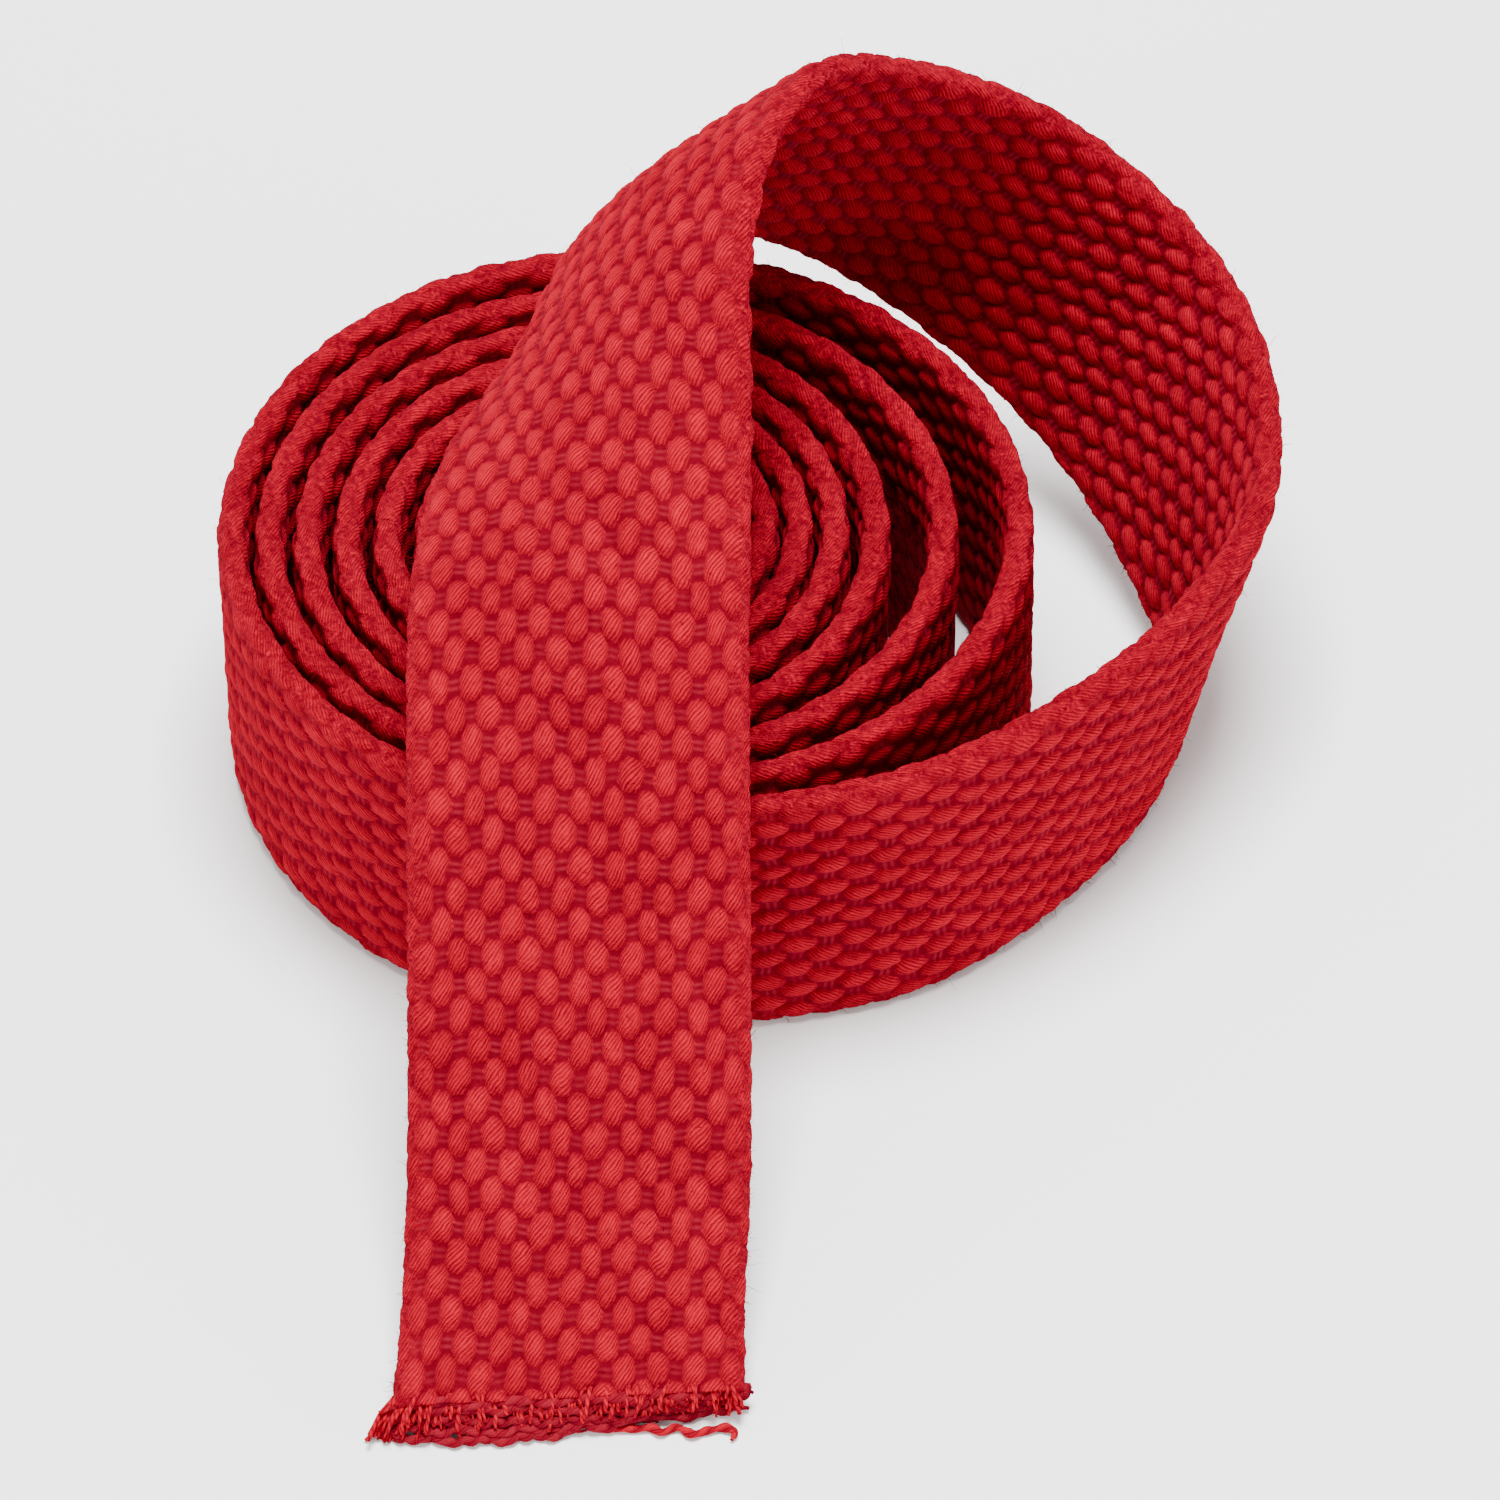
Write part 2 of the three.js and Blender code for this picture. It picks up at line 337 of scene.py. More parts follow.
class StrapLine:
    """The strap's line, measured by its true length, in millimetres."""

    def __init__(self):
        self.rows = strap_rows()
        chords = np.linalg.norm(np.diff(self.rows[:, :3], axis=0), axis=1)
        self.knots = np.concatenate([[0.0], np.cumsum(chords)])
        self.steps = np.linspace(0, self.knots[-1], int(self.knots[-1] / 0.1))
        middle = smooth_rows(self.knots, self.rows, self.steps)[:, :3]
        run = np.linalg.norm(np.diff(middle, axis=0), axis=1)
        self.lengths = np.concatenate([[0.0], np.cumsum(run)])
        self.end = self.lengths[-1]
        self.parting = self.length_at_knot(len(self.rows) - len(LOOSE_END) - 1)

    def length_at_knot(self, knot):
        """The length at which a steering section stands."""
        return float(np.interp(self.knots[knot], self.steps, self.lengths))

    def length_at_quarter(self, quarter):
        """The length at which the wound strap has turned so many quarters from the first left."""
        sixth = int(round(quarter * SIXTHS_A_QUARTER))
        return self.length_at_knot(len(INNER_END) + sixth - FIRST_SIXTH)

    def sections(self, lengths):
        """Middle, directions across and outward, crown, width and thickness at each length."""
        at = np.interp(lengths, self.lengths, self.steps)
        row = smooth_rows(self.knots, self.rows, at)
        ahead = smooth_rows(self.knots, self.rows, np.minimum(at + 0.05, self.knots[-1]))
        behind = smooth_rows(self.knots, self.rows, np.maximum(at - 0.05, 0.0))
        along = unit(ahead[:, :3] - behind[:, :3])
        across = unit(row[:, 3:6])
        outward = unit(np.cross(along, across))
        return row[:, :3], along, across, outward, row[:, 6], row[:, 7], row[:, 8]


def unit(vectors):
    """Vectors divided by their own length."""
    return vectors / np.linalg.norm(vectors, axis=-1, keepdims=True)


# The weave


def hashed(first, second, seed):
    """A number from 0 to 1 for each pair of whole numbers, always the same for the same pair."""
    return np.modf(np.abs(np.sin(first * 12.9898 + second * 78.233 + seed * 37.719) * 43758.5453))[0]


def ring_outline(places, weave):
    """The bare outline of a section at places counted in columns of the weave.

    The outline is a rounded rectangle. Its length is counted from the middle of the lower selvedge,
    up the outer face, round the upper selvedge and down the inner face. Each half of it holds
    nineteen columns on the face and a narrower one on the selvedge at either side.
    """
    radius = weave.selvedge_radius / MM
    side = weave.core_thickness / MM / 2 - radius
    face = weave.core_width / MM / 2 - radius
    corner = radius * math.pi / 2
    half = 2 * side + 2 * corner + 2 * face
    inner = np.mod(places - RING_START, RING_COLUMNS) >= HALF_COLUMNS
    place = np.mod(places - RING_START, HALF_COLUMNS)
    knots = [0, SELVEDGE_COLUMN, half - SELVEDGE_COLUMN, half]
    run = np.interp(place, [0, 1, HALF_COLUMNS - 1, HALF_COLUMNS], knots)
    low = np.clip(run - side, 0, corner) / radius
    high = np.clip(run - side - corner - 2 * face, 0, corner) / radius
    flat = np.clip(run - side - corner, 0, 2 * face)
    across = -face + flat - radius * np.cos(low) + radius * np.sin(high)
    through = np.clip(run, 0, side) + radius * np.sin(low) - radius * (1 - np.cos(high))
    through = through - np.clip(run - (half - side), 0, side)
    sign = np.where(inner, -1.0, 1.0)
    softness = np.interp(place, [0, 1.0, 2.0, HALF_COLUMNS - 2.0, HALF_COLUMNS - 1.0, HALF_COLUMNS], SOFTNESS)
    turn = low + high
    return across * sign, through * sign, -np.cos(turn) * sign, np.sin(turn) * sign, softness


def weave_relief(rows, columns):
    """Height of the weave, from 0 in the deepest places to about 1 on the crests.

    Warp bumps stand where the row and the column add to an even number. Each is a dome: one, less
    the distance from its centre in half lengths along and half widths across, each to the same power,
    and then to a power under one, which makes it plump. Where they add to an odd number a lower
    mound, the weft, shows in the gap. No two bumps are quite the same.
    """
    first = np.round((rows + columns) / 2)
    second = np.round((rows - columns) / 2)
    row = first + second
    column = np.mod(first - second, RING_COLUMNS)
    along = rows - row
    across = columns - (first - second)
    long_half = BUMP_HALF_LENGTH + BUMP_SIZE_SPREAD * (hashed(row, column, 1) - 0.5)
    wide_half = BUMP_HALF_WIDTH + BUMP_SIZE_SPREAD * (hashed(row, column, 2) - 0.5)
    lean = BUMP_LEAN_SPREAD * (hashed(row, column, 3) - 0.5) + BUMP_LEAN
    reach = (np.abs(along) / long_half) ** BUMP_POWER
    reach = reach + (np.abs(across - lean * along) / wide_half) ** BUMP_POWER
    height = BUMP_LOWEST + BUMP_HEIGHT_SPREAD * hashed(row, column, 4)
    dome = np.clip(1 - reach, 0, 1) ** BUMP_PLUMPNESS * height
    gap_first = np.round((rows + columns + 1) / 2)
    gap_second = np.round((rows - columns + 1) / 2)
    gap_along = rows + 1 - (gap_first + gap_second)
    gap_across = columns - (gap_first - gap_second)
    mound = 1 - (gap_along / MOUND_HALF_LENGTH) ** 2 - (gap_across / MOUND_HALF_WIDTH) ** 2
    return np.maximum(dome, np.clip(mound, 0, 1) ** 0.5 * MOUND_HEIGHT)


def cloth_points(line, lengths, places, weave, coarse=0.0):
    """Points of the woven surface at pairs of a length and a place round the section.

    A point is the section's middle, plus its place across and through the strap, plus the crown,
    which falls off with the square of the place across, plus the relief along the outline's own
    outward direction. Where coarse is 1 the relief is its mean. Rows and columns wander a little.
    """
    middle, along, across, outward, crown, width, thickness = line.sections(lengths)
    ring_across, ring_through, facing_across, facing_through, softness = ring_outline(places, weave)
    turn = 2 * math.pi * places / RING_COLUMNS
    rows = lengths / (weave.row_pitch / MM)
    for amount, waves, slowness in ROW_WANDER:
        rows = rows + amount * np.sin(waves * turn + lengths / slowness)
    columns = places
    for amount, waves, slowness in COLUMN_WANDER:
        columns = columns + amount * np.sin(waves * turn + lengths / slowness)
    relief = weave_relief(rows, columns)
    height = (relief + coarse * (MEAN_RELIEF - relief)) * softness
    lift = height * weave.relief / MM
    w = (ring_across + facing_across * lift) * width / WEBBING_WIDTH
    n = (ring_through + facing_through * lift) * thickness / WEBBING_THICKNESS
    n = n + crown * (0.5 - (w / (WEBBING_WIDTH / 2)) ** 2)
    points = middle + w[:, None] * across + n[:, None] * outward
    facing = facing_across[:, None] * across + facing_through[:, None] * outward
    return points, facing, along, rows, columns, softness


def ring_cuts(spans):
    """Places in columns round a section: each span is from, to, and cuts a column."""
    parts = [
        np.linspace(start, stop, int(round((stop - start) * cuts)), endpoint=False)
        for start, stop, cuts in spans
    ]
    return np.concatenate(parts)


def strap_piece(name, line, start, stop, spans, weave, cuts_a_row, plain=()):
    """A closed length of strap with its weave, a ring of points for each section."""
    count = int(math.ceil((stop - start) * MM / weave.row_pitch * cuts_a_row)) + 1
    lengths = np.linspace(start, stop, count)
    cuts = ring_cuts(spans)
    ring = len(cuts)
    coarse = np.zeros(ring)
    for low, high in plain:
        coarse[(cuts >= low) & (cuts < high)] = 1.0
    s = np.repeat(lengths, ring)
    v = np.tile(cuts, count)
    coarse = np.tile(coarse, count)
    points, facing, _, rows, columns, softness = cloth_points(line, s, v, weave, coarse)
    chance = np.random.default_rng(len(name) + count)
    rough = weave.roughness / MM * (1 + SELVEDGE_FUZZ * (1 - softness)) * chance.normal(0.0, 1.0, len(points))
    points = points + facing * rough[:, None]

    i = np.arange(count - 1)[:, None] * ring
    j = np.arange(ring)[None]
    k = (np.arange(ring)[None] + 1) % ring
    quads = np.stack([i + j, i + ring + j, i + ring + k, i + k], axis=-1).reshape(-1, 4)
    ends = np.array([points[:ring].mean(axis=0), points[-ring:].mean(axis=0)])
    first_cap = np.stack([np.full(ring, count * ring), j[0], k[0]], axis=-1)
    last = (count - 1) * ring
    last_cap = np.stack([np.full(ring, count * ring + 1), last + k[0], last + j[0]], axis=-1)
    triangles = np.vstack([first_cap, last_cap])

    uv = np.vstack([np.stack([rows, columns], axis=-1), [[rows[0], CAP_COLUMN], [rows[-1], CAP_COLUMN]]])
    quad_uv = uv[quads]
    closing = np.tile(np.arange(ring) == ring - 1, count - 1)
    quad_uv[closing, 2, 1] += RING_COLUMNS
    quad_uv[closing, 3, 1] += RING_COLUMNS
    attributes = {
        "selvedge": np.concatenate([(1 - softness) / (1 - SOFTNESS[0]), [1.0, 1.0]]),
        "plain": np.concatenate([coarse, [1.0, 1.0]]),
    }
    all_points = np.vstack([points, ends])
    return new_piece(name, all_points, quads, triangles, quad_uv, uv[triangles], attributes)


def tubes_piece(name, paths, radii, sides, plies=0.0, ply_pitch=1.0):
    """Many tapered tubes in one piece.

    Paths hold the same number of points for each tube and radii a radius for each point. A tube's
    rings stand square to its path. With plies, the section is a flower of that many petals which
    turns once in each ply pitch. Both ends close on a point at the path's own ends.
    """
    tubes, count = radii.shape
    along = unit(np.gradient(paths, axis=1))
    upright = np.where(np.abs(along[:, :1, 2:3]) > 0.8, [[[1.0, 0.0, 0.0]]], [[[0.0, 0.0, 1.0]]])
    first = unit(np.cross(along, np.broadcast_to(upright, along.shape)))
    second = np.cross(along, first)
    steps = np.linalg.norm(np.diff(paths, axis=1), axis=2)
    run = np.concatenate([np.zeros((tubes, 1)), np.cumsum(steps, axis=1)], axis=1)
    angle = 2 * math.pi * np.arange(sides) / sides
    petals = 1.0
    if plies:
        phase = plies * angle[None, None] + (2 * math.pi / ply_pitch) * run[..., None]
        petals = 1 + PETAL_DEPTH * np.cos(phase)
    size = radii[..., None] * petals * np.ones(sides)
    ring = size[..., None] * (
        np.cos(angle)[:, None] * first[:, :, None] + np.sin(angle)[:, None] * second[:, :, None]
    )
    points = (paths[:, :, None] + ring).reshape(-1, 3)
    tips = np.concatenate([paths[:, 0], paths[:, -1]])

    base = np.arange(tubes)[:, None, None] * count * sides
    i = np.arange(count - 1)[None, :, None] * sides
    j = np.arange(sides)[None, None]
    k = (j + 1) % sides
    quads = np.stack([base + i + j, base + i + sides + j, base + i + sides + k, base + i + k], axis=-1)
    quads = quads.reshape(-1, 4)
    start = np.arange(tubes)[:, None] * count * sides
    stop = start + (count - 1) * sides
    start_tip = np.broadcast_to(len(points) + np.arange(tubes)[:, None], (tubes, sides))
    stop_tip = start_tip + tubes
    opening = np.stack([start_tip, start + j[0], start + k[0]], axis=-1).reshape(-1, 3)
    closing = np.stack([stop_tip, stop + k[0], stop + j[0]], axis=-1).reshape(-1, 3)
    triangles = np.vstack([opening, closing])
    around = np.tile(np.arange(sides) / sides, tubes * count)
    uv = np.stack([np.repeat(run.ravel(), sides), around], axis=-1)
    uv = np.vstack([uv, np.zeros((2 * tubes, 2))])
    quad_uv = uv[quads]
    wrap = np.tile(np.arange(sides) == sides - 1, tubes * (count - 1))
    quad_uv[wrap, 2, 1] += 1
    quad_uv[wrap, 3, 1] += 1
    own = hashed(np.arange(tubes), 7, 5)
    attributes = {"own": np.concatenate([np.repeat(own, count * sides), own, own])}
    all_points = np.vstack([points, tips])
    return new_piece(name, all_points, quads, triangles, quad_uv, uv[triangles], attributes)


def new_piece(name, points, quads, triangles, quad_uv, triangle_uv, attributes):
    """A new object at the origin from points in millimetres, with faces that point outward."""
    mesh = bpy.data.meshes.new(name)
    corners = np.concatenate([quads.ravel(), triangles.ravel()]).astype(np.int32)
    starts = np.concatenate(
        [4 * np.arange(len(quads)), 4 * len(quads) + 3 * np.arange(len(triangles))]
    ).astype(np.int32)
    mesh.vertices.add(len(points))
    mesh.vertices.foreach_set("co", (points * MM).astype(np.float32).ravel())
    mesh.loops.add(len(corners))
    mesh.loops.foreach_set("vertex_index", corners)
    mesh.polygons.add(len(starts))
    mesh.polygons.foreach_set("loop_start", starts)
    mesh.polygons.foreach_set("use_smooth", np.ones(len(starts), dtype=bool))
    layer = mesh.uv_layers.new(name="weave")
    flat_uv = np.concatenate([quad_uv.reshape(-1, 2), triangle_uv.reshape(-1, 2)])
    layer.uv.foreach_set("vector", flat_uv.astype(np.float32).ravel())
    for attribute, values in attributes.items():
        data = mesh.attributes.new(attribute, "FLOAT", "POINT")
        data.data.foreach_set("value", values.astype(np.float32))
    mesh.update(calc_edges=True)
    if mesh.validate():
        raise RuntimeError(f"{name}: its mesh has faults")
    piece = bpy.data.objects.new(name, mesh)
    bpy.context.collection.objects.link(piece)
    return piece


# Materials


# The yarns as the materials draw them, in rows and columns.
YARN_HALF_WIDTH = 0.66
WEFT_PAIR_HALF = 0.24
WEFT_SPAN = 0.7
PLIES_A_BUMP = 26.0
PLY_SLANT = 1.15
WOVEN_BUMP = 0.00016
YARN_BUMP = 0.00010


def new_group(name, inputs, outputs):
    """A shader node group with named inputs and outputs, each a table of kinds and their names."""
    group = bpy.data.node_groups.new(name, "ShaderNodeTree")
    for way, sockets in (("INPUT", inputs), ("OUTPUT", outputs)):
        for kind, labels in sockets.items():
            for label in labels:
                group.interface.new_socket(label, in_out=way, socket_type="NodeSocket" + kind)
    return group, group.nodes.new("NodeGroupInput"), group.nodes.new("NodeGroupOutput")


def joined(tree, value, socket):
    """Sets a socket to a number or colour, or links it to another node's socket."""
    if isinstance(value, bpy.types.NodeSocket):
        tree.links.new(value, socket)
    else:
        socket.default_value = value


def worked(tree, operation, *values, clamp=False):
    """The result of a Math node."""
    node = tree.nodes.new("ShaderNodeMath")
    node.operation = operation
    node.use_clamp = clamp
    for value, socket in zip(values, node.inputs):
        joined(tree, value, socket)
    return node.outputs[0]


def arithmetic(tree):
    """A tree's own product, sum, difference, and product plus a third value, as functions."""
    kinds = ("MULTIPLY", "ADD", "SUBTRACT", "MULTIPLY_ADD")
    return [partial(worked, tree, kind) for kind in kinds]


def blended(tree, share, first, second, mode="MIX"):
    """The result of a colour Mix node."""
    node = tree.nodes.new("ShaderNodeMix")
    node.data_type = "RGBA"
    node.blend_type = mode
    joined(tree, share, node.inputs[0])
    joined(tree, first, node.inputs[6])
    joined(tree, second, node.inputs[7])
    return node.outputs[2]


def speckle(tree, where, scale, detail, roughness=0.6):
    """The height of a Noise Texture, from 0 to 1."""
    node = tree.nodes.new("ShaderNodeTexNoise")
    joined(tree, where, node.inputs["Vector"])
    node.inputs["Scale"].default_value = scale
    node.inputs["Detail"].default_value = detail
    node.inputs["Roughness"].default_value = roughness
    return node.outputs["Fac"]


def made_vector(tree, x, y, z=0.0):
    """The result of a Combine XYZ node."""
    node = tree.nodes.new("ShaderNodeCombineXYZ")
    for value, socket in zip((x, y, z), node.inputs):
        joined(tree, value, socket)
    return node.outputs[0]


def weave_cells_group():
    """Splits the weave's map into its cells: a warp bump, or a gap with two weft yarns in it.

    Bumps stand where row and column add to an even number. Along and Across are the place in the
    nearest bump, Bump is its dome, Yarn is a number of its own, and Weft is the pair of weft yarns.
    """
    group, given, made = new_group(
        "Weave cells",
        {"Vector": ("Rows and columns", "Place")},
        {"Float": ("Along", "Across", "Bump", "Yarn", "Weft")},
    )
    times, plus, minus, scaled = arithmetic(group)
    split = group.nodes.new("ShaderNodeSeparateXYZ")
    group.links.new(given.outputs[0], split.inputs[0])
    rows, columns = split.outputs[0], split.outputs[1]
    ragged = speckle(group, given.outputs[1], scale=1500.0, detail=3.0, roughness=0.6)
    uneven = speckle(group, given.outputs[1], scale=420.0, detail=1.0)

    def nearest(shift):
        """The nearest cell whose row and column add to an even number, and the place in it."""
        moved = plus(rows, shift)
        half_sum = times(plus(moved, columns), 0.5)
        half_gap = times(minus(moved, columns), 0.5)
        first = worked(group, "ROUND", half_sum)
        second = worked(group, "ROUND", half_gap)
        row = plus(first, second)
        column = minus(first, second)
        along = minus(moved, row)
        return row, column, along, minus(columns, column)

    def reach(distance, half):
        """A distance as a share of the half size, to the bump's power."""
        share = worked(group, "DIVIDE", worked(group, "ABSOLUTE", distance), half)
        return worked(group, "POWER", share, BUMP_POWER)

    row, column, along, across = nearest(0.0)
    shifted = plus(across, scaled(uneven, 0.5, -0.25))
    slanted = plus(shifted, times(along, 0.12))
    used = plus(reach(along, half=0.65), reach(slanted, half=0.72))
    used = plus(used, scaled(ragged, 1.3, -0.65))
    dome = worked(group, "POWER", minus(1.0, used, clamp=True), 0.8)
    own = group.nodes.new("ShaderNodeTexWhiteNoise")
    own.noise_dimensions = "2D"
    group.links.new(made_vector(group, row, column), own.inputs["Vector"])

    gap_row, _, gap_along, gap_across = nearest(1.0)
    pair = worked(group, "COSINE", times(gap_along, 2 * math.pi / WEFT_PAIR_HALF))
    pair = scaled(pair, -0.5, 0.5)
    inside = worked(group, "LESS_THAN", worked(group, "ABSOLUTE", gap_along), WEFT_PAIR_HALF)
    far = worked(group, "ABSOLUTE", worked(group, "DIVIDE", gap_across, WEFT_SPAN))
    spread = minus(1.0, far, clamp=True)
    strong = scaled(worked(group, "PINGPONG", gap_row, 1.0), -0.35, 0.9)
    weft = times(times(pair, inside), strong)
    weft = times(weft, spread, clamp=True)

    for socket, value in zip(made.inputs, (along, across, dome, own.outputs["Value"], weft)):
        group.links.new(value, socket)
    return group


def yarn_twist_group():
    """The slanting plies and fibres of a twisted yarn.

    A wave runs across the slant; towards the yarn's sides it is drawn together, as a round yarn shows
    it. Streaks of noise stretched along the slant break it up into fibres. Fuzz is fine noise.
    """
    group, given, made = new_group(
        "Yarn twist",
        {"Float": ("Along", "Across", "Yarn", "Plies", "Slant"), "Vector": ("Place",)},
        {"Float": ("Height", "Fuzz")},
    )
    times, plus, minus, scaled = arithmetic(group)
    along, across, yarn, plies, slant, place = given.outputs[:6]
    wobble = speckle(group, place, scale=700.0, detail=1.0)
    fuzz = speckle(group, place, scale=4200.0, detail=3.0, roughness=0.7)
    near = worked(group, "MAXIMUM", worked(group, "DIVIDE", across, YARN_HALF_WIDTH), -1.0)
    near = worked(group, "MINIMUM", near, 1.0)
    rounded = times(worked(group, "ARCSINE", near), 0.60)
    way = plus(rounded, times(along, slant))
    way = times(way, plies)
    way = plus(way, times(wobble, 7.0))
    way = plus(way, times(yarn, 6.0))
    wave = scaled(worked(group, "SINE", way), 0.5, 0.5)
    down = minus(along, times(rounded, 0.55))
    streak_place = made_vector(
        group,
        times(way, 0.45),
        times(down, 1.3),
        times(yarn, 31.0),
    )
    streak = speckle(group, streak_place, scale=1.0, detail=3.0, roughness=0.65)
    height = plus(times(wave, 0.6), scaled(streak, 1.3, -0.45), clamp=True)
    group.links.new(height, made.inputs[0])
    group.links.new(fuzz, made.inputs[1])
    return group


def cotton_tone_group():
    """The cotton's colour with painted shade: dark in the valleys and in the grooves between the plies,
    brighter on the crests, never quite even.
    """
    group, given, made = new_group(
        "Cotton tone",
        {"Color": ("Crest", "Valley"), "Float": ("Height", "Yarn", "Twist", "Fuzz"), "Vector": ("Place",)},
        {"Color": ("Colour",)},
    )
    times, plus, minus, scaled = arithmetic(group)
    crest, valley_shade, height, yarn, twist, fuzz, place = given.outputs[:7]
    cloud = speckle(group, place, scale=70.0, detail=3.0)
    patches = speckle(group, place, scale=900.0, detail=2.0)
    # Painted shade: the share of the crest colour falls with the height and with the twist, so the valley
    # colour darkens the low places and the ply grooves.
    share = worked(group, "POWER", height, 0.8, clamp=True)
    share = times(share, scaled(twist, 1.45, -0.05), clamp=True)
    colour = blended(group, share, valley_shade, crest)
    tone = scaled(yarn, 0.20, 0.78)
    for noise, amount in ((cloud, 0.30), (patches, 0.35), (fuzz, 0.45)):
        swing = times(minus(noise, 0.5), amount)
        tone = plus(tone, swing)
    grey = group.nodes.new("ShaderNodeCombineColor")
    for socket in grey.inputs[:3]:
        group.links.new(tone, socket)
    colour = blended(group, 1.0, colour, grey.outputs[0], "MULTIPLY")
    group.links.new(colour, made.inputs[0])
    return group


def stored(tree, name):
    """A number that the mesh stores for each point."""
    node = tree.nodes.new("ShaderNodeAttribute")
    node.attribute_name = name
    return node.outputs["Fac"]


def placed_group(tree, name, build):
    """A group's node in a material's tree; the group is built where it is first placed."""
    node = tree.nodes.new("ShaderNodeGroup")
    node.node_tree = bpy.data.node_groups.get(name) or build()
    return node


def started_material(name):
    """A new material, its node tree and its Object coordinates."""
    material = bpy.data.materials.new(name)
    material.use_nodes = True
    tree = material.node_tree
    return material, tree, tree.nodes.new("ShaderNodeTexCoord").outputs["Object"]


def finish_cotton(tree, colour, height, distance):
    """Gives the material's shader the matte look of cotton, with a colour and a fine relief."""
    shader = tree.nodes.get("Principled BSDF")
    shader.inputs["Roughness"].default_value = 0.95
    shader.inputs["Specular IOR Level"].default_value = 0.01
    shader.inputs["Sheen Weight"].default_value = 0.12
    shader.inputs["Sheen Roughness"].default_value = 0.5
    shader.inputs["Sheen Tint"].default_value = (1.0, 0.05, 0.10, 1.0)
    bump = tree.nodes.new("ShaderNodeBump")
    bump.inputs["Strength"].default_value = 1.0
    bump.inputs["Distance"].default_value = distance
    tree.links.new(height, bump.inputs["Height"])
    tree.links.new(bump.outputs[0], shader.inputs["Normal"])
    tree.links.new(colour, shader.inputs["Base Color"])


def opaque(colour):
    """A colour with its alpha, which is one."""
    return (colour[0], colour[1], colour[2], 1.0)


def woven_cotton(colours):
    """The strap's material: twisted yarns on the bumps, weft yarns in the gaps, and between them a deep red
    that is painted shade.
    """
    ready = bpy.data.materials.get("Woven cotton")
    if ready:
        return ready
    material, tree, place = started_material("Woven cotton")
    times, plus, minus, scaled = arithmetic(tree)
    weave_map = tree.nodes.new("ShaderNodeUVMap")
    weave_map.uv_map = "weave"
    cells = placed_group(tree, "Weave cells", weave_cells_group)
    tree.links.new(weave_map.outputs[0], cells.inputs[0])
    tree.links.new(place, cells.inputs[1])
    along, across, bump, yarn, weft = cells.outputs[:5]
    twist = placed_group(tree, "Yarn twist", yarn_twist_group)
    for socket, value in zip(twist.inputs, (along, across, yarn, PLIES_A_BUMP, PLY_SLANT, place)):
        joined(tree, value, socket)
    plain = stored(tree, "plain")
    selvedge = times(stored(tree, "selvedge"), 0.85)
    speckled = scaled(speckle(tree, place, scale=1700.0, detail=3.0, roughness=0.65), 3.6, -1.35, clamp=True)
    spread = times(minus(speckled, bump), selvedge)
    crest = plus(bump, spread, clamp=True)

    # Painted shade: the crest and valley colours are mixed by the height of the bumps, the valley colour
    # standing for the shade between them.
    tone = placed_group(tree, "Cotton tone", cotton_tone_group)
    tones = (opaque(colours.crest), opaque(colours.valley_shade), crest, yarn)
    for socket, value in zip(tone.inputs, (*tones, twist.outputs["Height"], twist.outputs["Fuzz"], place)):
        joined(tree, value, socket)
    low = minus(1.0, worked(tree, "MAXIMUM", bump, selvedge), clamp=True)
    show_weft = times(weft, low, clamp=True)
    colour = blended(tree, times(show_weft, 0.8), tone.outputs[0], opaque(colours.weft))

    lines = times(twist.outputs["Height"], scaled(bump, 0.55, 0.10))
    dome_share = scaled(plain, 2.6, 0.7)
    height = scaled(bump, dome_share, lines)
    height = plus(height, times(times(speckled, selvedge), 1.2))
    height = plus(height, times(show_weft, 0.6))
    height = plus(height, times(twist.outputs["Fuzz"], 0.35))
    finish_cotton(tree, colour, height, WOVEN_BUMP)
    return material


def cotton_yarn(colours, name, crest, twist_pitch):
    """A loose yarn's material: two plies that turn along its length, from its map of length and turn."""
    ready = bpy.data.materials.get(name)
    if ready:
        return ready
    material, tree, place = started_material(name)
    times, plus, _, scaled = arithmetic(tree)
    yarn_map = tree.nodes.new("ShaderNodeUVMap")
    yarn_map.uv_map = "weave"
    split = tree.nodes.new("ShaderNodeSeparateXYZ")
    tree.links.new(yarn_map.outputs[0], split.inputs[0])
    turns = times(split.outputs[1], 4 * math.pi)
    way = scaled(split.outputs[0], 2 * math.pi / twist_pitch, turns)
    ply = scaled(worked(tree, "SINE", way), 0.5, 0.5)
    fine = scaled(worked(tree, "SINE", times(way, 4.0)), 0.5, 0.5)
    fuzz = speckle(tree, place, scale=3800.0, detail=3.0, roughness=0.7)
    strands = plus(times(ply, 0.6), times(fine, 0.4))
    # Painted shade: the strands' wave mixes in the valley colour, which darkens the grooves between the
    # plies.
    tone = placed_group(tree, "Cotton tone", cotton_tone_group)
    values = (opaque(crest), opaque(colours.valley_shade), 0.85, stored(tree, "own"), strands, fuzz, place)
    for socket, value in zip(tone.inputs, values):
        joined(tree, value, socket)
    height = plus(times(strands, 0.6), times(fuzz, 0.5))
    finish_cotton(tree, tone.outputs[0], height, YARN_BUMP)
    return material


# Pieces


# Where the wound pieces end, in quarters of a turn, and how many sections steer the strip.
CORE_QUARTERS = 20
MIDDLE_QUARTERS = 32.5
STRIP_SECTIONS = 10

# The mesh round a section, as from column, to column and cuts a column. Between the turns, where
# the faces are hidden, it is coarse and plain.
HIDDEN_FACES = ((0.5, 13.5), (25.5, 38.5))
INNER_SPANS = (
    (RING_START, 0.5, 2),
    (0.5, 13.5, 0.5),
    (13.5, 25.5, 4),
    (25.5, 38.5, 0.5),
    (38.5, RING_END, 2),
)
OUTER_SPANS = ((RING_START, 25.5, 4), (25.5, RING_END, 2))
LOOSE_SPANS = ((RING_START, RING_END, 5),)
WOUND_CUTS_A_ROW = 6

